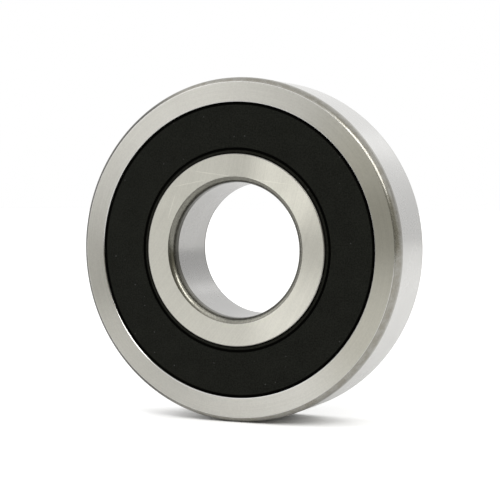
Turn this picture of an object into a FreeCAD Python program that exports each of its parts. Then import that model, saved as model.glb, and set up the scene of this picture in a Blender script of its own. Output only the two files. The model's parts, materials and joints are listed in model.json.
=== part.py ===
import FreeCAD, Part
import math
import os

# Single-row deep groove ball bearing, 55 x 140 x 33 mm, with a rubber contact seal on each side.
# Millimetres. The bearing's axis is Y, +Z is up and the origin is the bearing's centre. The front
# faces -Y. The two sides are alike.

# ---- driving dimensions -------------------------------------------------------------------------
BORE_RADIUS = 55.0 / 2
OUTER_RADIUS = 140.0 / 2
HALF_WIDTH = 33.0 / 2
BALL_COUNT = 7
BALL_RADIUS = 23.812 / 2

PITCH_RADIUS = (BORE_RADIUS + OUTER_RADIUS) / 2

# Corners of the rings: how far each comes in along the radius and along the axis.
OUTER_CORNER_RADIAL = 2.1
OUTER_CORNER_AXIAL = 3.2
BORE_CORNER_RADIAL = 2.4
BORE_CORNER_AXIAL = 3.0

# Raceways: grooves a little more open than the ball, with a small internal clearance.
GROOVE_RADIUS = 0.52 * 2 * BALL_RADIUS
RACE_CLEARANCE = 0.02
INNER_SHOULDER_RADIUS = 41.3
OUTER_SHOULDER_RADIUS = 56.2
SHOULDER_EDGE = 0.3

# Seal seats. The inner ring has a ground land under the lip. The outer ring has a recess with a
# snap groove, and a ledge that the seal lies on.
LAND_RADIUS = 39.1
LAND_EDGE_ROUND = 0.4
LAND_FOOT = 13.6
SHOULDER_FOOT = 12.6
RECESS_RADIUS = 60.0
RECESS_EDGE = 0.3
SNAP_RADIUS = 61.3
SNAP_TOP = 15.3
SNAP_SHOULDER = 14.7
LEDGE = 13.4

# Seal: rubber moulded on the outer side of a flanged steel insert.
SEAL_FACE = 15.95
LIP_CLEARANCE = 0.03
BEAD_CLEARANCE = 0.05
INSERT_INNER_SIDE = 13.95
INSERT_THICKNESS = 0.6
INSERT_INNER_RADIUS = 43.0
INSERT_OUTER_RADIUS = 58.7
INSERT_FLANGE_TOP = 15.3
INSERT_BEND = 0.3

# The rubber's outline, from the lip outwards. The lip hangs on a thin hinge between a groove in the
# face and one behind it. At the rim the face falls away to a narrow open groove beside the recess.
LIP_TIP_LOW = 14.3
LIP_TIP_HIGH = 14.7
LIP_HEEL_RADIUS = 39.8
LIP_HEEL = 14.0
LIP_SHOULDER_RADIUS = 39.45
LIP_CREST = 15.75
LIP_FRONT_ROUND = 0.55
LIP_BACK_ROUND = 0.3
HINGE_INNER_RADIUS = 40.75
HINGE_OUTER_RADIUS = 41.55
HINGE_FRONT = 15.1
HINGE_REAR = 14.35
HINGE_ROOT = 0.35
FACE_INNER_ROUND = 0.45
FACE_OUTER_ROUND = 0.55
FACE_OUTER_RADIUS = 59.15
RIM_GROOVE_FLOOR = 15.1
RIM_GROOVE_SLOPE = 0.15
NECK_RADIUS = 59.9
BEAD_CHAMFER = 0.4

# Cage: two pressed halves that meet at the middle plane, riveted between the balls.
CAGE_THICKNESS = 1.2
CAGE_HALF_BAND = 4.4
POCKET_CLEARANCE = 0.15
PRESSED_ROUND = 0.8
RIVET_RADIUS = 1.75
RIVET_HOLE_RADIUS = 1.8
RIVET_HEAD_RADIUS = 3.2
RIVET_HEAD_HEIGHT = 1.5

AXIS = FreeCAD.Vector(0, 1, 0)
CENTRE = FreeCAD.Vector(0, 0, 0)
MIDDLE_PLANE = (CENTRE, AXIS)


# ---- outlines -----------------------------------------------------------------------------------
# An outline is a list of points in the half-plane of radius and distance along the axis. A "via"
# point lies on an arc between the two "to" points beside it.

def to(radius, along):
    return ("to", radius, along)


def via(radius, along):
    return ("via", radius, along)


def mirrored(outline):
    """The same outline on the other side of the middle plane, run backwards."""
    return [(kind, radius, -along) for kind, radius, along in reversed(outline)]


def arc_round(centre_radius, centre_along, arc_radius, start_deg, end_deg):
    """Three points of an arc; 0 degrees points away from the axis and 90 along +Y."""
    points = []
    for kind, degrees in ((to, start_deg), (via, (start_deg + end_deg) / 2), (to, end_deg)):
        turn = math.radians(degrees)
        radius = centre_radius + arc_radius * math.cos(turn)
        along = centre_along + arc_radius * math.sin(turn)
        points.append(kind(radius, along))
    return points


def rounded_inner_edge(radius, top, size):
    """Up an inward-facing wall and on to a top face, with the edge rounded off."""
    return arc_round(radius + size, top - size, size, 180, 90)


def rounded_outer_edge(radius, top, size):
    """Off a top face and down an outward-facing wall, with the edge rounded off."""
    return arc_round(radius - size, top - size, size, 90, 0)


def ring_corner(surface_radius, radial, axial, outward):
    """A ring's corner: an arc that leaves the round surface smoothly and meets the face at an edge."""
    arc_radius = (radial ** 2 + axial ** 2) / (2 * radial)
    turn = math.degrees(math.asin(axial / arc_radius))
    start_along = HALF_WIDTH - axial
    if outward:
        return arc_round(surface_radius - arc_radius, start_along, arc_radius, 0, turn)
    return arc_round(surface_radius + arc_radius, start_along, arc_radius, 180, 180 - turn)


def turned(outline, axis_point=CENTRE):
    """The solid that a closed outline sweeps round a line through axis_point, parallel to Y."""
    corners = [FreeCAD.Vector(radius, along, 0) for kind, radius, along in outline]
    kinds = [kind for kind, radius, along in outline]
    count = len(corners)
    edges = []
    for i in range(count):
        following = (i + 1) % count
        if kinds[i] == "via":
            continue
        if kinds[following] == "via":
            end = corners[(i + 2) % count]
            edges.append(Part.Arc(corners[i], corners[following], end).toShape())
        else:
            edges.append(Part.LineSegment(corners[i], corners[following]).toShape())
    face = Part.Face(Part.Wire(edges))
    solid = face.revolve(CENTRE, AXIS, 360)
    solid.translate(axis_point)
    return solid


# ---- rings --------------------------------------------------------------------------------------

def groove(bottom_radius, shoulder_radius):
    """The raceway's edge on the +Y shoulder, its bottom, and its edge on the -Y shoulder."""
    toward_balls = math.copysign(1, PITCH_RADIUS - bottom_radius)
    centre = bottom_radius + toward_balls * GROOVE_RADIUS
    half_opening = math.sqrt(GROOVE_RADIUS ** 2 - (shoulder_radius - centre) ** 2)
    return [to(shoulder_radius, half_opening), via(bottom_radius, 0), to(shoulder_radius, -half_opening)]


def make_outer_ring():
    side = ring_corner(OUTER_RADIUS, OUTER_CORNER_RADIAL, OUTER_CORNER_AXIAL, outward=True) + [
        to(RECESS_RADIUS + RECESS_EDGE, HALF_WIDTH),
        to(RECESS_RADIUS, HALF_WIDTH - RECESS_EDGE),
        to(RECESS_RADIUS, SNAP_TOP),
        to(SNAP_RADIUS, SNAP_SHOULDER),
        to(SNAP_RADIUS, LEDGE),
        to(OUTER_SHOULDER_RADIUS + SHOULDER_EDGE, LEDGE),
        to(OUTER_SHOULDER_RADIUS, LEDGE - SHOULDER_EDGE),
    ]
    race_bottom = PITCH_RADIUS + BALL_RADIUS + RACE_CLEARANCE
    return turned(side + groove(race_bottom, OUTER_SHOULDER_RADIUS) + mirrored(side))


def make_inner_ring():
    side = ring_corner(BORE_RADIUS, BORE_CORNER_RADIAL, BORE_CORNER_AXIAL, outward=False)
    side += rounded_outer_edge(LAND_RADIUS, HALF_WIDTH, LAND_EDGE_ROUND)
    side += [
        to(LAND_RADIUS, LAND_FOOT),
        to(INNER_SHOULDER_RADIUS - SHOULDER_EDGE, SHOULDER_FOOT),
        to(INNER_SHOULDER_RADIUS, SHOULDER_FOOT - SHOULDER_EDGE),
    ]
    race_bottom = PITCH_RADIUS - BALL_RADIUS - RACE_CLEARANCE
    return turned(side + groove(race_bottom, INNER_SHOULDER_RADIUS) + mirrored(side))


# ---- balls and cage -----------------------------------------------------------------------------

def on_pitch_circle(step):
    """The place of ball number step, counted from the top; half steps lie between balls."""
    turn = 2 * math.pi * step / BALL_COUNT
    return FreeCAD.Vector(PITCH_RADIUS * math.sin(turn), 0, PITCH_RADIUS * math.cos(turn))


def make_ball(step):
    return Part.makeSphere(BALL_RADIUS, on_pitch_circle(step))


def band(low, high):
    """The flat ring that the cage is pressed from, between two distances along the axis."""
    inner = PITCH_RADIUS - CAGE_HALF_BAND
    outer = PITCH_RADIUS + CAGE_HALF_BAND
    return turned([to(inner, low), to(outer, low), to(outer, high), to(inner, high)])


def pocket_tool(step, offset, low):
    """A ball's pocket, at a depth into the sheet: a dome that flares out into the flat, down to low."""
    sheet_inside = BALL_RADIUS + POCKET_CLEARANCE
    flare_along = CAGE_THICKNESS + PRESSED_ROUND
    flare_reach = sheet_inside + flare_along
    flare_radius = math.sqrt(flare_reach ** 2 - flare_along ** 2)
    tilt_deg = math.degrees(math.asin(flare_along / flare_reach))
    dome = arc_round(0, 0, sheet_inside + offset, 90, tilt_deg)
    flare = arc_round(flare_radius, flare_along, flare_along - offset, 180 + tilt_deg, 270)
    floor = [to(flare_radius, low), to(0, low)]
    return turned(dome + flare[1:] + floor, on_pitch_circle(step))


def make_rear_cage_half():
    half = band(0, CAGE_THICKNESS)
    deep = band(0, 2 * BALL_RADIUS)
    for i in range(BALL_COUNT):
        half = half.fuse(pocket_tool(i, CAGE_THICKNESS, 0).common(deep))
    for i in range(BALL_COUNT):
        half = half.cut(pocket_tool(i, 0, -CAGE_THICKNESS))
        hole_foot = on_pitch_circle(i + 0.5) - AXIS
        hole = Part.makeCylinder(RIVET_HOLE_RADIUS, 3 * CAGE_THICKNESS, hole_foot, AXIS)
        half = half.cut(hole)
    return half.removeSplitter()


def make_rivet(step):
    """A round-headed rivet; its shank fills the two thicknesses of the cage."""
    rise = RIVET_HEAD_HEIGHT
    dome_radius = (RIVET_HEAD_RADIUS ** 2 + rise ** 2) / (2 * rise)
    dome_centre = CAGE_THICKNESS + rise - dome_radius
    edge_deg = math.degrees(math.asin((CAGE_THICKNESS - dome_centre) / dome_radius))
    head = [to(RIVET_RADIUS, CAGE_THICKNESS)]
    head += arc_round(0, dome_centre, dome_radius, edge_deg, 90)
    return turned(mirrored(head) + head, on_pitch_circle(step + 0.5))


# ---- seals --------------------------------------------------------------------------------------

def insert_outer_side():
    """The insert's outer side, from the top of its flange down and in to its inner edge."""
    flange_inside = INSERT_OUTER_RADIUS - INSERT_THICKNESS
    upper = INSERT_INNER_SIDE + INSERT_THICKNESS
    return [
        to(INSERT_OUTER_RADIUS, INSERT_FLANGE_TOP),
        to(flange_inside, INSERT_FLANGE_TOP),
        *arc_round(flange_inside - INSERT_BEND, upper + INSERT_BEND, INSERT_BEND, 0, -90),
        to(INSERT_INNER_RADIUS, upper),
        to(INSERT_INNER_RADIUS, INSERT_INNER_SIDE),
    ]


def insert_bend():
    """The outside of the insert's bend, from its inner side up to its flange."""
    bend = INSERT_BEND + INSERT_THICKNESS
    return arc_round(INSERT_OUTER_RADIUS - bend, INSERT_INNER_SIDE + bend, bend, -90, 0)


def make_rear_insert():
    return turned(insert_bend() + insert_outer_side())


def make_rear_rubber():
    """Lip beside the inner ring, hinge, flat face, rim groove, and bead in the snap groove."""
    tip_radius = LAND_RADIUS + LIP_CLEARANCE
    lip = [
        to(LIP_HEEL_RADIUS, LIP_HEEL),
        to(tip_radius, LIP_TIP_LOW),
        to(tip_radius, LIP_TIP_HIGH),
        *rounded_inner_edge(LIP_SHOULDER_RADIUS, LIP_CREST, LIP_FRONT_ROUND),
        *rounded_outer_edge(HINGE_INNER_RADIUS, LIP_CREST, LIP_BACK_ROUND),
    ]
    hinge_front = [to(HINGE_INNER_RADIUS, HINGE_FRONT), to(HINGE_OUTER_RADIUS, HINGE_FRONT)]
    flat_face = [
        *rounded_inner_edge(HINGE_OUTER_RADIUS, SEAL_FACE, FACE_INNER_ROUND),
        *rounded_outer_edge(FACE_OUTER_RADIUS, SEAL_FACE, FACE_OUTER_ROUND),
    ]
    rim_groove = [
        to(FACE_OUTER_RADIUS + RIM_GROOVE_SLOPE, RIM_GROOVE_FLOOR),
        to(NECK_RADIUS, RIM_GROOVE_FLOOR),
    ]
    bead_radius = SNAP_RADIUS - BEAD_CLEARANCE
    bead = [
        to(bead_radius, SNAP_SHOULDER - BEAD_CLEARANCE),
        to(bead_radius, LEDGE + BEAD_CHAMFER),
        to(bead_radius - BEAD_CHAMFER, LEDGE),
        to(INSERT_OUTER_RADIUS - INSERT_BEND - INSERT_THICKNESS, LEDGE),
    ]
    hinge_rear = [
        to(HINGE_OUTER_RADIUS + HINGE_ROOT, INSERT_INNER_SIDE),
        to(HINGE_OUTER_RADIUS, HINGE_REAR),
        to(HINGE_INNER_RADIUS, HINGE_REAR),
    ]
    front = lip + hinge_front + flat_face + rim_groove + bead
    return turned(front + insert_bend() + insert_outer_side() + hinge_rear)


# ---- assembly -----------------------------------------------------------------------------------

def other_side(shape):
    return shape.mirror(*MIDDLE_PLANE)


rear_rubber = make_rear_rubber()
rear_insert = make_rear_insert()
cage_rear_half = make_rear_cage_half()

nodes = {
    "outer_ring": make_outer_ring(),
    "inner_ring": make_inner_ring(),
    "cage_front_half": other_side(cage_rear_half),
    "cage_rear_half": cage_rear_half,
    "front_seal_rubber": other_side(rear_rubber),
    "front_seal_insert": other_side(rear_insert),
    "rear_seal_rubber": rear_rubber,
    "rear_seal_insert": rear_insert,
}
for number in range(BALL_COUNT):
    nodes[f"ball_{number + 1}"] = make_ball(number)
    nodes[f"cage_rivet_{number + 1}"] = make_rivet(number)

os.makedirs("parts", exist_ok=True)
for name, shape in nodes.items():
    solid = shape.Solids[0]
    if len(shape.Solids) != 1 or not solid.isValid():
        raise SystemExit(f"{name} is not one valid solid")
    solid.exportStep(f"parts/{name}.step")
    print(f"{name:20s} {solid.Volume / 1000:9.3f} cm3")
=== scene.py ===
import json
import math

import bpy
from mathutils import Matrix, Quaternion, Vector


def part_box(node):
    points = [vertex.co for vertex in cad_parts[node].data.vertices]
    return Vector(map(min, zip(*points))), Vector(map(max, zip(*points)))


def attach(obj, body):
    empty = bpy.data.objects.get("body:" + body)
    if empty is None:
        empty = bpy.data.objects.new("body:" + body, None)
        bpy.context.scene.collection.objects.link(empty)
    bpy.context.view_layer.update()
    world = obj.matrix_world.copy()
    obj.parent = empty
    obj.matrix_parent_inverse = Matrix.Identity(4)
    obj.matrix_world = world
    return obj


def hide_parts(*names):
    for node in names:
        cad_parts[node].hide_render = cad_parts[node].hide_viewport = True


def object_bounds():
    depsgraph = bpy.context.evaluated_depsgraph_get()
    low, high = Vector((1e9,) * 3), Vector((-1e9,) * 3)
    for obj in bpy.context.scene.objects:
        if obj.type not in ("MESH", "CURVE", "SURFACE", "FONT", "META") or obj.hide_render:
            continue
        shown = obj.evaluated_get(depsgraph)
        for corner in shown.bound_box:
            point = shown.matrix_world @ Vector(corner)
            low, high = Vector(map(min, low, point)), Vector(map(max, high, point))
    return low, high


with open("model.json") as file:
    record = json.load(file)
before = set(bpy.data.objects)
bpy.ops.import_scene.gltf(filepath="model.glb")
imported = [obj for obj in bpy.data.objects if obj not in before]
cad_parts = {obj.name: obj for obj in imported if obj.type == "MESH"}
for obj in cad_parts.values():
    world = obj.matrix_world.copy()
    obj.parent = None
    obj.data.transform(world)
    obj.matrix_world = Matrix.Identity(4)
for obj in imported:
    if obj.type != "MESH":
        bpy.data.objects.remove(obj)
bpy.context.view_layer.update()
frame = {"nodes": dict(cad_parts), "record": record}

# A sealed ball bearing standing on its rim. Metres; the bearing's axis is Y and its front faces -Y.
# The rings and the seals' rubber are turned meshes that stand for the CAD solids of the same shape,
# with finer rounding; the balls, cage, rivets and steel inserts are the CAD nodes themselves.

MM = 0.001


# ---- sizes from the frame -----------------------------------------------------------------------

def mount_size(name, key):
    """A dimension of one of the record's mounts, in millimetres."""
    for mount in frame["record"]["mounts"]:
        if mount["name"] == name:
            return mount["dims"][key]
    raise KeyError(name)


def radius_of(node):
    """The outer radius of a CAD node that is turned about the axis, in millimetres."""
    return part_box(node)[1].x / MM


BORE_RADIUS = mount_size("bore", "r_mm")
OUTER_RADIUS = mount_size("outside_diameter", "r_mm")
HALF_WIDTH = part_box("outer_ring")[1].y / MM
BORE_CORNER_AXIAL = HALF_WIDTH - mount_size("bore", "length_mm") / 2
OUTER_CORNER_AXIAL = HALF_WIDTH - mount_size("outside_diameter", "length_mm") / 2
BALL_RADIUS = (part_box("ball_1")[1].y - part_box("ball_1")[0].y) / 2 / MM
PITCH_RADIUS = (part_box("ball_1")[1].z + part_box("ball_1")[0].z) / 2 / MM
INNER_SHOULDER_RADIUS = radius_of("inner_ring")
BEAD_RADIUS = radius_of("rear_seal_rubber")
SEAL_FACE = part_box("rear_seal_rubber")[1].y / MM
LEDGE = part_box("rear_seal_rubber")[0].y / MM
INSERT_RADIUS = radius_of("rear_seal_insert")
INSERT_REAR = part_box("rear_seal_insert")[0].y / MM
INSERT_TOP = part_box("rear_seal_insert")[1].y / MM

# ---- sizes in millimetres that the CAD solids share ---------------------------------------------
OUTER_CORNER_RADIAL = 2.1
BORE_CORNER_RADIAL = 2.4
GROOVE_RADIUS = 0.52 * 2 * BALL_RADIUS
RACE_CLEARANCE = 0.02
OUTER_SHOULDER_RADIUS = 56.2
LAND_RADIUS = 39.1
LAND_FOOT = 13.6
SHOULDER_FOOT = 12.6
RECESS_RADIUS = 60.0
RECESS_CHAMFER_RADIAL = 0.27
RECESS_CHAMFER_AXIAL = 0.22
SNAP_RADIUS = 61.3
SNAP_TOP = 15.3
SNAP_SHOULDER = 14.7
LIP_CLEARANCE = 0.03
LIP_HEEL_RADIUS = 39.8
LIP_HEEL = 14.0
LIP_TIP_REAR = 14.3
LIP_TIP_FRONT = 14.7
LIP_CREST_RADIUS = 39.45
LIP_CREST = 15.75
HINGE_INNER_RADIUS = 40.75
HINGE_OUTER_RADIUS = 41.55
HINGE_FRONT = 15.1
HINGE_REAR = 14.35
FACE_OUTER_RADIUS = 59.15
RIM_GROOVE_OUTER_RADIUS = 59.9
RIM_GROOVE_FLOOR = 15.1
RIM_GROOVE_SLOPE = 0.15
BEAD_CLEARANCE = 0.05
INSERT_THICKNESS = 0.6
INSERT_INNER_RADIUS = 43.0
INSERT_OUTER_BEND = 0.9
INSERT_INNER_BEND = 0.3
INSERT_SEAT_RADIUS = 41.9

# ---- mesh fineness ------------------------------------------------------------------------------
SEGMENTS = 384
ARC_STEP_DEG = 4.0
HOLD = 0.06
LONG_RUN = 0.5

# In front, the grinding of the round walls stops this far short of the turned corners
BORE_UNGROUND = 2.1
RIM_UNGROUND = 1.3


# ---- turned meshes ------------------------------------------------------------------------------
# An outline is a closed list of (zone, radius, along, rounding): the zone names the surface that
# ends at the point, and rounding is the radius that its corner is softened to.

def point(zone, radius, along, rounding=0.0):
    return (zone, radius, along, rounding)


def arc(zone, centre_radius, centre_along, arc_radius, start_deg, end_deg):
    """Points on an arc in equal steps; 0 degrees points away from the axis and 90 along +Y."""
    steps = max(2, math.ceil(abs(end_deg - start_deg) / ARC_STEP_DEG))
    points = []
    for i in range(steps + 1):
        turn = math.radians(start_deg + (end_deg - start_deg) * i / steps)
        radius = centre_radius + arc_radius * math.cos(turn)
        along = centre_along + arc_radius * math.sin(turn)
        points.append(point(zone, radius, along))
    return points


def mirrored(outline, before_first):
    """The outline on the other side of the middle plane, run backwards, with each run's zone kept.

    before_first is the zone of the run that leads to the mirrored outline's first point.
    """
    zones = [onward[0] for onward in outline[1:]] + [before_first]
    flipped = [
        point(zone, radius, -along, rounding)
        for zone, (_, radius, along, rounding) in zip(zones, outline)
    ]
    return flipped[::-1]


def soften(outline):
    """Replaces each corner that has a rounding by an arc that is tangent to both of its runs."""
    softened = []
    count = len(outline)
    for i, (zone, radius, along, rounding) in enumerate(outline):
        here = Vector((radius, along))
        if rounding == 0:
            softened.append((zone, here))
            continue
        back = (Vector(outline[i - 1][1:3]) - here).normalized()
        onward = (Vector(outline[(i + 1) % count][1:3]) - here).normalized()
        half_angle = back.angle(onward) / 2
        centre = here + (back + onward).normalized() * rounding / math.sin(half_angle)
        start = here + back * rounding / math.tan(half_angle) - centre
        end = here + onward * rounding / math.tan(half_angle) - centre
        steps = max(2, math.ceil(math.degrees(start.angle(end)) / (3 * ARC_STEP_DEG)))
        for step in range(steps + 1):
            spoke = start.normalized().slerp(end.normalized(), step / steps)
            softened.append((zone, centre + spoke * rounding))
    return softened


def hold_runs(polyline):
    """Adds a point close to both ends of each long run, so that it shades as flat."""
    held = []
    for i, (zone, here) in enumerate(polyline):
        before = polyline[i - 1][1]
        run = here - before
        if run.length > LONG_RUN:
            step = run.normalized() * HOLD
            held.append((zone, before + step))
            held.append((zone, here - step))
        held.append((zone, here))
    return held


def turned_mesh(name, outline, materials):
    """The outline swept round the Y axis; materials gives each zone's material."""
    rim = hold_runs(soften(outline))
    count = len(rim)
    vertices = []
    for i in range(SEGMENTS):
        turn = 2 * math.pi * i / SEGMENTS
        for zone, place in rim:
            vertices.append((place.x * MM * math.cos(turn), place.y * MM, place.x * MM * math.sin(turn)))
    faces = []
    for i in range(SEGMENTS):
        near = i * count
        far = (i + 1) % SEGMENTS * count
        for j in range(count):
            k = (j + 1) % count
            faces.append((near + j, near + k, far + k, far + j))
    mesh = bpy.data.meshes.new(name)
    mesh.from_pydata(vertices, [], faces)
    zones = list(materials)
    for zone in zones:
        mesh.materials.append(materials[zone])
    slots = [zones.index(rim[(j + 1) % count][0]) for j in range(count)]
    mesh.polygons.foreach_set("material_index", slots * SEGMENTS)
    mesh.polygons.foreach_set("use_smooth", [True] * len(faces))
    mesh.update()
    piece = bpy.data.objects.new(name, mesh)
    bpy.context.scene.collection.objects.link(piece)
    return piece


# ---- outlines -----------------------------------------------------------------------------------

def ring_corner(zone, surface_radius, radial, axial, outward):
    """A ring's corner: smooth into the round surface, and at an edge with the face."""
    arc_radius = (radial ** 2 + axial ** 2) / (2 * radial)
    turn = math.degrees(math.asin(axial / arc_radius))
    start_along = HALF_WIDTH - axial
    if outward:
        return arc(zone, surface_radius - arc_radius, start_along, arc_radius, 0, turn)
    return arc(zone, surface_radius + arc_radius, start_along, arc_radius, 180, 180 - turn)


def unground(side, length):
    """A ring's side on which the corner's turned finish runs on over the round wall by a length."""
    zone, radius, along, _ = side[0]
    return [point(zone, radius, along - length), point("corner", radius, along)] + side[1:]


def raceway(bottom_radius, shoulder_radius):
    """The race groove, from its +Y shoulder to its -Y shoulder."""
    inward = bottom_radius < PITCH_RADIUS
    centre = bottom_radius + GROOVE_RADIUS if inward else bottom_radius - GROOVE_RADIUS
    reach = math.degrees(math.acos(abs(shoulder_radius - centre) / GROOVE_RADIUS))
    if inward:
        return arc("race", centre, 0, GROOVE_RADIUS, 180 - reach, 180 + reach)
    return arc("race", centre, 0, GROOVE_RADIUS, reach, -reach)


def outer_ring_outline():
    side = ring_corner("corner", OUTER_RADIUS, OUTER_CORNER_RADIAL, OUTER_CORNER_AXIAL, outward=True)
    side[0] = point("rim", *side[0][1:])
    side[-1] = point("edge", side[-1][1], side[-1][2], 0.3)
    side += [
        point("face", RECESS_RADIUS + RECESS_CHAMFER_RADIAL, HALF_WIDTH, 0.05),
        point("edge", RECESS_RADIUS, HALF_WIDTH - RECESS_CHAMFER_AXIAL, 0.05),
        point("recess", RECESS_RADIUS, SNAP_TOP, 0.1),
        point("recess", SNAP_RADIUS, SNAP_SHOULDER, 0.15),
        point("recess", SNAP_RADIUS, LEDGE, 0.15),
        point("recess", OUTER_SHOULDER_RADIUS, LEDGE, 0.3),
    ]
    bottom = PITCH_RADIUS + BALL_RADIUS + RACE_CLEARANCE
    front = mirrored(unground(side, RIM_UNGROUND), "recess")
    return side + raceway(bottom, OUTER_SHOULDER_RADIUS) + front


def inner_ring_outline():
    side = ring_corner("corner", BORE_RADIUS, BORE_CORNER_RADIAL, BORE_CORNER_AXIAL, outward=False)
    side[0] = point("bore", *side[0][1:])
    side[-1] = point("corner", side[-1][1], side[-1][2], 0.12)
    side += [
        point("face", LAND_RADIUS, HALF_WIDTH, 0.4),
        point("land", LAND_RADIUS, LAND_FOOT, 0.2),
        point("land", INNER_SHOULDER_RADIUS, SHOULDER_FOOT, 0.3),
    ]
    bottom = PITCH_RADIUS - BALL_RADIUS - RACE_CLEARANCE
    front = mirrored(unground(side, BORE_UNGROUND), "land")
    return side + raceway(bottom, INNER_SHOULDER_RADIUS) + front


def rear_rubber_outline():
    """Lip, hinge, flat face, rim groove, bead, and the seat of the steel insert."""
    tip_radius = LAND_RADIUS + LIP_CLEARANCE
    lip = [
        point("hidden", LIP_HEEL_RADIUS, LIP_HEEL, 0.1),
        point("hidden", tip_radius, LIP_TIP_REAR, 0.05),
        point("lip", tip_radius, LIP_TIP_FRONT, 0.05),
        point("lip", LIP_CREST_RADIUS, LIP_CREST, 0.45),
        point("lip", HINGE_INNER_RADIUS, LIP_CREST, 0.3),
        point("groove", HINGE_INNER_RADIUS, HINGE_FRONT, 0.1),
        point("groove", HINGE_OUTER_RADIUS, HINGE_FRONT, 0.1),
    ]
    flat_face = [
        point("groove", HINGE_OUTER_RADIUS, SEAL_FACE, 0.3),
        point("face", FACE_OUTER_RADIUS, SEAL_FACE, 0.5),
        point("groove", FACE_OUTER_RADIUS + RIM_GROOVE_SLOPE, RIM_GROOVE_FLOOR, 0.1),
        point("groove", RIM_GROOVE_OUTER_RADIUS, RIM_GROOVE_FLOOR),
    ]
    outer_bend_radius = INSERT_RADIUS - INSERT_OUTER_BEND
    bead = [
        point("hidden", BEAD_RADIUS, SNAP_SHOULDER - BEAD_CLEARANCE, 0.1),
        point("hidden", BEAD_RADIUS, LEDGE, 0.35),
        point("hidden", outer_bend_radius, LEDGE),
    ]
    front = INSERT_REAR + INSERT_THICKNESS
    flange_inside = INSERT_RADIUS - INSERT_THICKNESS
    inner_bend_radius = flange_inside - INSERT_INNER_BEND
    seat = arc("hidden", outer_bend_radius, INSERT_REAR + INSERT_OUTER_BEND, INSERT_OUTER_BEND, -90, 0)
    seat += [point("hidden", INSERT_RADIUS, INSERT_TOP), point("hidden", flange_inside, INSERT_TOP)]
    seat += arc("hidden", inner_bend_radius, front + INSERT_INNER_BEND, INSERT_INNER_BEND, 0, -90)
    seat += [
        point("hidden", INSERT_INNER_RADIUS, front),
        point("hidden", INSERT_INNER_RADIUS, INSERT_REAR),
        point("hidden", INSERT_SEAT_RADIUS, INSERT_REAR, 0.1),
        point("hidden", HINGE_OUTER_RADIUS, HINGE_REAR, 0.1),
        point("hidden", HINGE_INNER_RADIUS, HINGE_REAR, 0.1),
    ]
    return lip + flat_face + bead + seat


# ---- node helpers -------------------------------------------------------------------------------

def node(tree, kind, inputs=None, **settings):
    """Adds a node; an input's value is a number, a colour or the socket that feeds it."""
    made = tree.nodes.new(kind)
    for key, value in settings.items():
        setattr(made, key, value)
    for key, value in (inputs or {}).items():
        if isinstance(value, bpy.types.NodeSocket):
            tree.links.new(value, made.inputs[key])
        else:
            made.inputs[key].default_value = value
    return made


def calc(tree, operation, first, second=0.0):
    return node(tree, "ShaderNodeMath", {0: first, 1: second}, operation=operation).outputs[0]


def remap(tree, value, low, high, to_low, to_high, smooth=True):
    kind = "SMOOTHSTEP" if smooth else "LINEAR"
    inputs = {"Value": value, "From Min": low, "From Max": high, "To Min": to_low, "To Max": to_high}
    return node(tree, "ShaderNodeMapRange", inputs, interpolation_type=kind).outputs["Result"]


def noise(tree, vector, scale, detail=3.0, roughness=0.5):
    inputs = {"Vector": vector, "Scale": scale, "Detail": detail, "Roughness": roughness}
    return node(tree, "ShaderNodeTexNoise", inputs, noise_dimensions="3D").outputs["Fac"]


def blend_colour(tree, factor, first, second):
    made = node(tree, "ShaderNodeMix", {0: factor, 6: first, 7: second}, data_type="RGBA")
    return made.outputs[2]


def multiplied(tree, first, second):
    inputs = {0: 1.0, 6: first, 7: second}
    made = node(tree, "ShaderNodeMix", inputs, data_type="RGBA", blend_type="MULTIPLY")
    return made.outputs[2]


def grey(value, tint=(1.0, 1.0, 1.0)):
    return (value * tint[0], value * tint[1], value * tint[2], 1.0)


WARM = (1.0, 0.97, 0.80)


def new_material(name):
    """A material with its node tree emptied, and the Principled node that it shows."""
    material = bpy.data.materials.new(name)
    material.use_nodes = True
    tree = material.node_tree
    tree.nodes.clear()
    shader = node(tree, "ShaderNodeBsdfPrincipled")
    node(tree, "ShaderNodeOutputMaterial", {"Surface": shader.outputs["BSDF"]})
    return material, tree, shader


def feed(tree, shader, **values):
    """Sets the Principled node's inputs, named with _ for a space."""
    for key, value in values.items():
        socket = shader.inputs[key.replace("_", " ")]
        if isinstance(value, bpy.types.NodeSocket):
            tree.links.new(value, socket)
        else:
            socket.default_value = value


def millimetres(tree):
    """The place on the piece, in millimetres, as a vector and as its x, y and z."""
    place = node(tree, "ShaderNodeTexCoord").outputs["Object"]
    inputs = {0: place, "Scale": 1 / MM}
    scaled = node(tree, "ShaderNodeVectorMath", inputs, operation="SCALE").outputs[0]
    parts = node(tree, "ShaderNodeSeparateXYZ", {"Vector": scaled}).outputs
    return scaled, parts["X"], parts["Y"], parts["Z"]


def vector(tree, x, y, z):
    return node(tree, "ShaderNodeCombineXYZ", {"X": x, "Y": y, "Z": z}).outputs[0]


def bump(tree, height, distance_mm):
    inputs = {"Height": height, "Distance": distance_mm * MM, "Strength": 1.0}
    return node(tree, "ShaderNodeBump", inputs).outputs["Normal"]


# ---- surface patterns ---------------------------------------------------------------------------

def length_of(tree, first, second):
    first_square = calc(tree, "MULTIPLY", first, first)
    second_square = calc(tree, "MULTIPLY", second, second)
    return calc(tree, "SQRT", calc(tree, "ADD", first_square, second_square))


def ring_lay(tree, fine, drift=2.0):
    """Grinding lay that runs round the axis: quick change across it, slow change along it."""
    _, x, y, z = millimetres(tree)
    radius = length_of(tree, x, z)
    across = calc(tree, "MULTIPLY", calc(tree, "ADD", radius, y), fine)
    cos_turn = calc(tree, "MULTIPLY", calc(tree, "DIVIDE", x, radius), drift)
    sin_turn = calc(tree, "MULTIPLY", calc(tree, "DIVIDE", z, radius), drift)
    return noise(tree, vector(tree, cos_turn, sin_turn, across), 1.0, detail=2.0)


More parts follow.
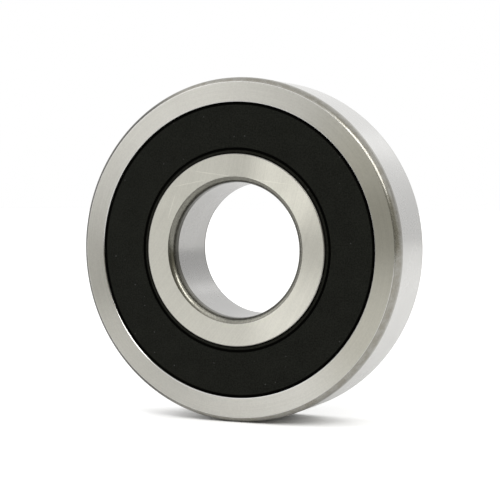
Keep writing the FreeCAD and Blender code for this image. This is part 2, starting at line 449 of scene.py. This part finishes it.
def arc_lay(tree, centre_x, centre_z, fine, drift=0.02):
    """Grinding lay of a wheel whose centre is off the bearing's axis: arcs that cross the face."""
    _, x, _, z = millimetres(tree)
    radius = length_of(tree, calc(tree, "SUBTRACT", x, centre_x), calc(tree, "SUBTRACT", z, centre_z))
    across = calc(tree, "MULTIPLY", radius, fine)
    along = vector(tree, calc(tree, "MULTIPLY", x, drift), calc(tree, "MULTIPLY", z, drift), across)
    return noise(tree, along, 1.0, detail=2.0)


def toward(tree, angle_deg):
    """The cosine of the angle round the axis from a direction; 0 is the right and 90 the top."""
    _, x, _, z = millimetres(tree)
    turn = math.radians(angle_deg)
    sideways = calc(tree, "MULTIPLY", x, math.cos(turn))
    upward = calc(tree, "MULTIPLY", z, math.sin(turn))
    return calc(tree, "DIVIDE", calc(tree, "ADD", sideways, upward), length_of(tree, x, z))


def depth_below_face(tree, y):
    return calc(tree, "SUBTRACT", HALF_WIDTH, calc(tree, "ABSOLUTE", y))


# ---- wear and painted light ---------------------------------------------------------------------

# Hairline scratches across the inner ring's front face: x and z of both ends, in millimetres
SCRATCHES = [(-22.0, 32.6, 27.0, 26.2), (-28.0, 25.6, -12.0, 28.6), (-30.0, 12.0, -26.0, 24.0)]
SCRATCH_LIFT = 0.12


def scratch(tree, start_x, start_z, end_x, end_z):
    """1 on a straight hairline scratch on the front face, fading out at its ends, and 0 off it."""
    _, x, y, z = millimetres(tree)
    length = math.hypot(end_x - start_x, end_z - start_z)
    step_x = (end_x - start_x) / length
    step_z = (end_z - start_z) / length
    dx = calc(tree, "SUBTRACT", x, start_x)
    dz = calc(tree, "SUBTRACT", z, start_z)
    run = calc(tree, "ADD", calc(tree, "MULTIPLY", dx, step_x), calc(tree, "MULTIPLY", dz, step_z))
    off = calc(tree, "SUBTRACT", calc(tree, "MULTIPLY", dx, step_z), calc(tree, "MULTIPLY", dz, step_x))
    near = remap(tree, calc(tree, "ABSOLUTE", off), 0.05, 0.25, 1.0, 0.0)
    near = calc(tree, "MULTIPLY", near, calc(tree, "LESS_THAN", y, 0.0))
    middle = calc(tree, "ABSOLUTE", calc(tree, "SUBTRACT", run, length / 2))
    return calc(tree, "MULTIPLY", near, remap(tree, middle, 0.3 * length, 0.5 * length, 1.0, 0.0))


def painted_sheen_fans_and_scratches(tree):
    """Painted sheen: brightens two fans, the brighter at the upper right; the hairline scratches are
    lifted as well.
    """
    _, x, _, z = millimetres(tree)
    radius = length_of(tree, x, z)
    height = calc(tree, "DIVIDE", z, radius)
    sideways = remap(tree, calc(tree, "DIVIDE", x, radius), 0.05, 0.55, 0.0, 1.0)
    upward = remap(tree, calc(tree, "ABSOLUTE", height), 0.05, 0.6, 0.0, 1.0)
    sheen_peak = remap(tree, height, -0.5, 0.5, 0.86, 1.06)
    sheen_and_scratches = remap(tree, calc(tree, "MULTIPLY", sideways, upward), 0.0, 1.0, 0.69, sheen_peak, smooth=False)
    for ends in SCRATCHES:
        sheen_and_scratches = calc(tree, "ADD", sheen_and_scratches, calc(tree, "MULTIPLY", scratch(tree, *ends), SCRATCH_LIFT))
    return sheen_and_scratches


def painted_shade_right_side(tree):
    """Painted shade: darkens the right of the face, a little warmer in tone."""
    right = remap(tree, toward(tree, 0), 0.45, 0.88, 0.0, 1.0)
    return blend_colour(tree, right, grey(1.0), grey(0.76, (1.0, 0.99, 0.93)))


def hardening_scale_and_painted_glint(tree):
    """Dark scale from hardening, thickest deep in the bore's corner, and a painted glint: the corner is
    lighter towards the lower left and darker elsewhere.
    """
    place, _, y, _ = millimetres(tree)
    speck = noise(tree, place, 1.3, detail=4.0, roughness=0.7)
    ragged = calc(tree, "ADD", depth_below_face(tree, y), remap(tree, speck, 0.3, 0.7, -0.5, 0.5))
    deep = remap(tree, ragged, 0.8, 2.4, 0.0, 1.0)
    scale = blend_colour(tree, deep, grey(1.0), grey(0.30, (1.0, 0.98, 0.9)))
    # Painted glint: the corner's colour is lifted towards the lower left.
    painted_glint = remap(tree, toward(tree, 227), 0.75, 0.97, 0.46, 0.85)
    return multiplied(tree, scale, painted_glint)


def stain_and_painted_light(tree):
    """Uneven brown stain on a turned corner, with painted light: shade painted at the left and a glint
    painted on its edge at the upper right.
    """
    place, _, y, _ = millimetres(tree)
    blotch = noise(tree, place, 0.35, detail=4.0, roughness=0.6)
    clean = remap(tree, blotch, 0.35, 0.65, 0.0, 1.0)
    stain = blend_colour(tree, clean, (0.84, 0.82, 0.78, 1.0), grey(1.0))
    # Painted glint: the edge near the face is lightened at the upper right.
    edge = remap(tree, depth_below_face(tree, y), 0.35, 0.8, 1.0, 0.0)
    painted_glint = calc(tree, "MULTIPLY", edge, remap(tree, toward(tree, 35), 0.88, 0.985, 0.0, 0.12))
    painted_glint = calc(tree, "ADD", painted_glint, 0.45)
    # Painted shade: the corner darkens towards the left.
    darker = remap(tree, toward(tree, 180), 0.3, 0.6, 1.0, 0.32)
    return multiplied(tree, stain, calc(tree, "MULTIPLY", painted_glint, darker))


# ---- steel --------------------------------------------------------------------------------------

STEEL = (0.63, 0.625, 0.61, 1.0)
STEEL_FACE = (0.642, 0.631, 0.586, 1.0)
STEEL_INNER = (0.90, 0.884, 0.80, 1.0)
STEEL_EDGE = (0.57, 0.565, 0.55, 1.0)
# The bore's steel is darker than the rim's ground steel: painted shade inside the bore.
STEEL_BORE_PAINTED_SHADE = (0.43, 0.425, 0.415, 1.0)
STEEL_DULL = (0.375, 0.367, 0.337, 1.0)
STEEL_BORE_CORNER = (0.50, 0.488, 0.425, 1.0)
STEEL_CORNER = (0.79, 0.773, 0.71, 1.0)


def steel_material(name, colour, shade, roughness, spread, lay, bump_mm, anisotropic, wear_and_painted_light=None):
    """Worked steel: the lay darkens the colour a little, varies the roughness and lifts the surface."""
    material, tree, shader = new_material(name)
    pattern = lay(tree)
    place = millimetres(tree)[0]
    cloud = noise(tree, place, 0.06, detail=4.0)
    mottle = noise(tree, place, 1.6, detail=5.0, roughness=0.65)
    mixed = calc(tree, "ADD", calc(tree, "MULTIPLY", pattern, 0.4), calc(tree, "MULTIPLY", mottle, 0.6))
    darker = grey(1 - shade)
    tone = blend_colour(tree, remap(tree, mixed, 0.35, 0.65, 0, 1), darker, grey(1.0))
    tone = multiplied(tree, tone, colour)
    # This factor multiplies the colour: real stain, scale and scratches, and painted shade, sheen and
    # glints.
    if wear_and_painted_light is not None:
        tone = multiplied(tree, tone, wear_and_painted_light(tree))
    wander = calc(tree, "ADD", calc(tree, "MULTIPLY", cloud, 0.6), calc(tree, "MULTIPLY", mixed, 0.4))
    rough = remap(tree, wander, 0.3, 0.7, roughness - spread, roughness + spread)
    feed(tree, shader, Base_Color=tone, Metallic=1.0, Roughness=rough)
    feed(tree, shader, Normal=bump(tree, mixed, bump_mm))
    tangent = node(tree, "ShaderNodeTangent", direction_type="RADIAL", axis="Y").outputs[0]
    feed(tree, shader, Anisotropic=anisotropic, Anisotropic_Rotation=0.25, Tangent=tangent)
    return material


def round_lay(fine):
    return lambda tree: ring_lay(tree, fine)


def cross_lay(centre_x, centre_z, fine):
    return lambda tree: arc_lay(tree, centre_x, centre_z, fine)


def ring_materials():
    """The materials of the outer and the inner ring, by zone."""
    recess = steel_material(
        "recess_turned", STEEL_DULL, shade=0.12, roughness=0.32, spread=0.04,
        lay=round_lay(6.0), bump_mm=0.001, anisotropic=0.4)
    race = steel_material(
        "race_lapped", STEEL, shade=0.03, roughness=0.10, spread=0.03,
        lay=round_lay(8.0), bump_mm=0.0002, anisotropic=0.3)
    outer = {
        # The outer face's colour is painted darker at its right, as shade.
        "face": steel_material(
            "outer_face_ground", STEEL_FACE, shade=0.10, roughness=0.40, spread=0.04,
            lay=round_lay(2.5), bump_mm=0.0005, anisotropic=0.95, wear_and_painted_light=painted_shade_right_side),
        "rim": steel_material(
            "rim_ground", STEEL, shade=0.06, roughness=0.28, spread=0.03,
            lay=round_lay(4.0), bump_mm=0.0005, anisotropic=0.6),
        "corner": steel_material(
            "corner_turned", STEEL_CORNER, shade=0.15, roughness=0.27, spread=0.04,
            lay=round_lay(3.0), bump_mm=0.0003, anisotropic=0.4, wear_and_painted_light=stain_and_painted_light),
        "edge": steel_material(
            "edge_burnished", STEEL_EDGE, shade=0.06, roughness=0.20, spread=0.03,
            lay=round_lay(3.0), bump_mm=0.0002, anisotropic=0.3),
        "recess": recess,
        "race": race,
    }
    inner = {
        # The inner face's colour carries a painted sheen in two fans, and its hairline scratches.
        "face": steel_material(
            "inner_face_ground", STEEL_INNER, shade=0.09, roughness=0.36, spread=0.04,
            lay=cross_lay(-120.0, 60.0, 2.2), bump_mm=0.0008, anisotropic=0.2, wear_and_painted_light=painted_sheen_fans_and_scratches),
        "bore": steel_material(
            "bore_ground", STEEL_BORE_PAINTED_SHADE, shade=0.07, roughness=0.28, spread=0.03,
            lay=round_lay(4.0), bump_mm=0.0005, anisotropic=0.6),
        "corner": steel_material(
            "bore_corner_turned", STEEL_BORE_CORNER, shade=0.45, roughness=0.24, spread=0.05,
            lay=round_lay(6.0), bump_mm=0.0015, anisotropic=0.4, wear_and_painted_light=hardening_scale_and_painted_glint),
        "land": recess,
        "race": race,
    }
    return outer, inner


def plain_steel(name, colour, roughness, grain, bump_mm):
    """Steel with an even fine grain, for the hidden pieces."""
    material, tree, shader = new_material(name)
    place = millimetres(tree)[0]
    speck = noise(tree, place, grain, detail=5.0, roughness=0.6)
    tone = blend_colour(tree, remap(tree, speck, 0.3, 0.7, 0, 1), grey(0.82), grey(1.0))
    rough = remap(tree, speck, 0.3, 0.7, roughness * 0.8, roughness * 1.2)
    feed(tree, shader, Base_Color=multiplied(tree, tone, colour), Metallic=1.0, Roughness=rough)
    feed(tree, shader, Normal=bump(tree, speck, bump_mm))
    return material


# ---- rubber -------------------------------------------------------------------------------------

def rubber_material(name, base, roughness, specular):
    """Matt black rubber with a fine moulded grain, faint bloom and a few specks of dust."""
    material, tree, shader = new_material(name)
    place, x, _, z = millimetres(tree)
    grain = noise(tree, place, 1.7, detail=4.0, roughness=0.6)
    bloom = noise(tree, place, 0.12, detail=4.0)
    mixed = calc(tree, "ADD", calc(tree, "MULTIPLY", grain, 0.5), calc(tree, "MULTIPLY", bloom, 0.5))
    tone = remap(tree, mixed, 0.3, 0.7, 0.7, 1.3)
    colour = node(tree, "ShaderNodeVectorMath", {0: base, "Scale": tone}, operation="SCALE").outputs[0]
    flat = vector(tree, x, z, 0.0)
    cells = node(tree, "ShaderNodeTexVoronoi", {"Vector": flat, "Scale": 0.22}, voronoi_dimensions="2D")
    chosen = node(tree, "ShaderNodeSeparateColor", {"Color": cells.outputs["Color"]}).outputs["Red"]
    size = remap(tree, chosen, 0.88, 1.0, 0.0, 0.07, smooth=False)
    speck = calc(tree, "LESS_THAN", cells.outputs["Distance"], size)
    colour = blend_colour(tree, calc(tree, "MULTIPLY", speck, 0.6), colour, grey(0.06))
    rough = remap(tree, grain, 0.3, 0.7, roughness - 0.06, roughness + 0.06)
    sheen = remap(tree, grain, 0.35, 0.65, specular * 0.6, specular * 1.4)
    feed(tree, shader, Base_Color=colour, Roughness=rough, Specular_IOR_Level=sheen)
    feed(tree, shader, Specular_Tint=(0.96, 1.0, 0.82, 1.0), Normal=bump(tree, grain, 0.03))
    return material


# ---- pieces -------------------------------------------------------------------------------------

def add_piece(name, outline, materials, body, cad_node):
    piece = turned_mesh(name, outline, materials)
    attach(piece, body)
    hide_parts(cad_node)


def add_rings():
    outer, inner = ring_materials()
    add_piece(
        "outer_ring_ground", outer_ring_outline(), outer, "outer_ring_body", "outer_ring")
    add_piece(
        "inner_ring_ground", inner_ring_outline(), inner, "inner_ring_body", "inner_ring")


def add_seals():
    base = (0.0045, 0.0048, 0.0040)
    face = rubber_material("rubber_face", base, roughness=0.62, specular=0.12)
    lip = rubber_material("rubber_lip", (0.0040, 0.0038, 0.0030), roughness=0.5, specular=0.13)
    # The groove rubber is darker and less shiny than the face's: painted shade in the seal's grooves.
    groove = rubber_material("rubber_groove_painted_shade", (0.0015, 0.0015, 0.0012), roughness=0.7, specular=0.03)
    materials = {"face": face, "lip": lip, "groove": groove, "hidden": face}
    rear = rear_rubber_outline()
    front = mirrored(rear, rear[0][0])
    add_piece(
        "rear_seal_moulded", rear, materials, "outer_ring_body", "rear_seal_rubber")
    add_piece(
        "front_seal_moulded", front, materials, "outer_ring_body", "front_seal_rubber")


def dress_cad_nodes():
    """Gives the hidden CAD nodes their materials."""
    ball = plain_steel(
        "ball_lapped", (0.70, 0.70, 0.70, 1.0), roughness=0.07, grain=0.8, bump_mm=0.0001)
    cage = plain_steel(
        "cage_pressed", (0.50, 0.49, 0.47, 1.0), roughness=0.38, grain=1.2, bump_mm=0.004)
    rivet = plain_steel(
        "rivet_headed", (0.56, 0.55, 0.53, 1.0), roughness=0.34, grain=2.0, bump_mm=0.003)
    insert = plain_steel(
        "insert_sheet", (0.52, 0.52, 0.51, 1.0), roughness=0.40, grain=1.0, bump_mm=0.003)
    wanted = {
        "ball_": ball,
        "cage_rivet": rivet,
        "cage_front": cage,
        "cage_rear": cage,
        "front_seal_insert": insert,
        "rear_seal_insert": insert,
    }
    for name, cad_object in frame["nodes"].items():
        for start, material in wanted.items():
            if name.startswith(start):
                cad_object.data.materials.clear()
                cad_object.data.materials.append(material)


# ---- studio -------------------------------------------------------------------------------------

FLOOR_REACH = 6.0
FLOOR_FRONT = -0.55
FLOOR_GLOW = 0.08
FLOOR_SEEN_GLOW = 0.19
TENT_LEVEL = 1.05

CAMERA_AZIMUTH = 23.7
CAMERA_ELEVATION = 2.23
CAMERA_DISTANCE = 8.754 * OUTER_RADIUS * MM
CAMERA_LENS = 106.4
CAMERA_SHIFT = (-0.0006, -0.0023)

# azimuth, elevation, angle within which the patch is full, angle where it ends, colour
TENT_PATCHES = [
    (50, 8, 40, 80, grey(0.40, WARM)),
    (108, 42, 14, 38, grey(1.1)),
    (170, 28, 15, 45, grey(1.12)),
    (140, 0, 14, 38, grey(0.72)),
    (171, 23, 1, 6, grey(1.6)),
    (-48, 34, 8, 34, grey(1.9)),
    (-8, 48, 8, 32, grey(1.4)),
    (14, -3, 23, 52, grey(0.22, WARM)),
]


def direction(azimuth_deg, elevation_deg):
    """Unit vector from the bearing; azimuth 0 is straight in front and 90 is to its right."""
    azimuth = math.radians(azimuth_deg)
    elevation = math.radians(elevation_deg)
    flat = math.cos(elevation)
    return Vector((math.sin(azimuth) * flat, -math.cos(azimuth) * flat, math.sin(elevation)))


def add_floor():
    """A pale table top that ends half a metre in front of the bearing, where the tent is dark."""
    left, right = -FLOOR_REACH, FLOOR_REACH
    front, back = FLOOR_FRONT, FLOOR_REACH
    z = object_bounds()[0].z
    mesh = bpy.data.meshes.new("floor")
    corners = [(left, front, z), (right, front, z), (right, back, z), (left, back, z)]
    mesh.from_pydata(corners, [], [(0, 1, 2, 3)])
    floor = bpy.data.objects.new("floor", mesh)
    bpy.context.scene.collection.objects.link(floor)
    material, tree, shader = new_material("floor_white")
    feed(tree, shader, Base_Color=grey(0.93), Roughness=0.9, Specular_IOR_Level=0.1)
    seen = node(tree, "ShaderNodeLightPath").outputs["Is Camera Ray"]
    # The glow fades where ambient occlusion is low: a contact shadow painted under the bearing.
    open_to_sky = node(tree, "ShaderNodeAmbientOcclusion", {"Distance": 0.05}, samples=8).outputs["AO"]
    glow = calc(tree, "ADD", calc(tree, "MULTIPLY", seen, FLOOR_SEEN_GLOW), FLOOR_GLOW)
    glow = calc(tree, "MULTIPLY", glow, remap(tree, open_to_sky, 0.15, 0.55, 0.0, 1.0))
    feed(tree, shader, Emission_Color=grey(1.0), Emission_Strength=glow)
    mesh.materials.append(material)


def add_softbox(name, azimuth, elevation, roll_deg, distance, width, height, power):
    """A rectangular lamp aimed at the bearing; roll turns its width from level, rising to the left."""
    lamp = bpy.data.lights.new(name, "AREA")
    lamp.shape = "RECTANGLE"
    lamp.size = width
    lamp.size_y = height
    lamp.energy = power
    box = bpy.data.objects.new(name, lamp)
    outward = direction(azimuth, elevation)
    box.location = outward * distance
    roll = Quaternion((0, 0, 1), math.radians(-roll_deg))
    box.rotation_euler = (outward.to_track_quat("Z", "Y") @ roll).to_euler()
    bpy.context.scene.collection.objects.link(box)


def add_world():
    """A light tent: white, brighter at the left in front, dimmer at the right and low in front."""
    world = bpy.data.worlds.new("tent")
    bpy.context.scene.world = world
    world.use_nodes = True
    tree = world.node_tree
    tree.nodes.clear()
    outward = node(tree, "ShaderNodeTexCoord").outputs["Generated"]
    level = grey(TENT_LEVEL)
    for azimuth, elevation, full_deg, none_deg, colour in TENT_PATCHES:
        inputs = {0: outward, 1: direction(azimuth, elevation)}
        near = node(tree, "ShaderNodeVectorMath", inputs, operation="DOT_PRODUCT").outputs["Value"]
        none = math.cos(math.radians(none_deg))
        full = math.cos(math.radians(full_deg))
        level = blend_colour(tree, remap(tree, near, none, full, 0.0, 1.0), level, colour)
    seen = node(tree, "ShaderNodeLightPath").outputs["Is Camera Ray"]
    shown = blend_colour(tree, seen, level, grey(1.0))
    background = node(tree, "ShaderNodeBackground", {"Color": shown, "Strength": 1.0})
    node(tree, "ShaderNodeOutputWorld", {"Surface": background.outputs["Background"]})


def add_camera():
    """The view from the right and a little above, aimed at the bearing's centre."""
    camera_data = bpy.data.cameras.new("camera")
    camera_data.sensor_width = 36.0
    camera_data.lens = CAMERA_LENS
    camera_data.shift_x, camera_data.shift_y = CAMERA_SHIFT
    camera = bpy.data.objects.new("camera", camera_data)
    outward = direction(CAMERA_AZIMUTH, CAMERA_ELEVATION)
    camera.location = outward * CAMERA_DISTANCE
    camera.rotation_euler = outward.to_track_quat("Z", "Y").to_euler()
    bpy.context.scene.collection.objects.link(camera)
    bpy.context.scene.camera = camera


def add_studio():
    add_camera()
    add_floor()
    add_world()
    add_softbox(
        "key", azimuth=44, elevation=37.5, roll_deg=38, distance=1.5, width=0.95, height=0.3, power=5.2)
    bpy.context.scene.view_settings.view_transform = "Standard"


add_studio()
add_rings()
add_seals()
dress_cad_nodes()
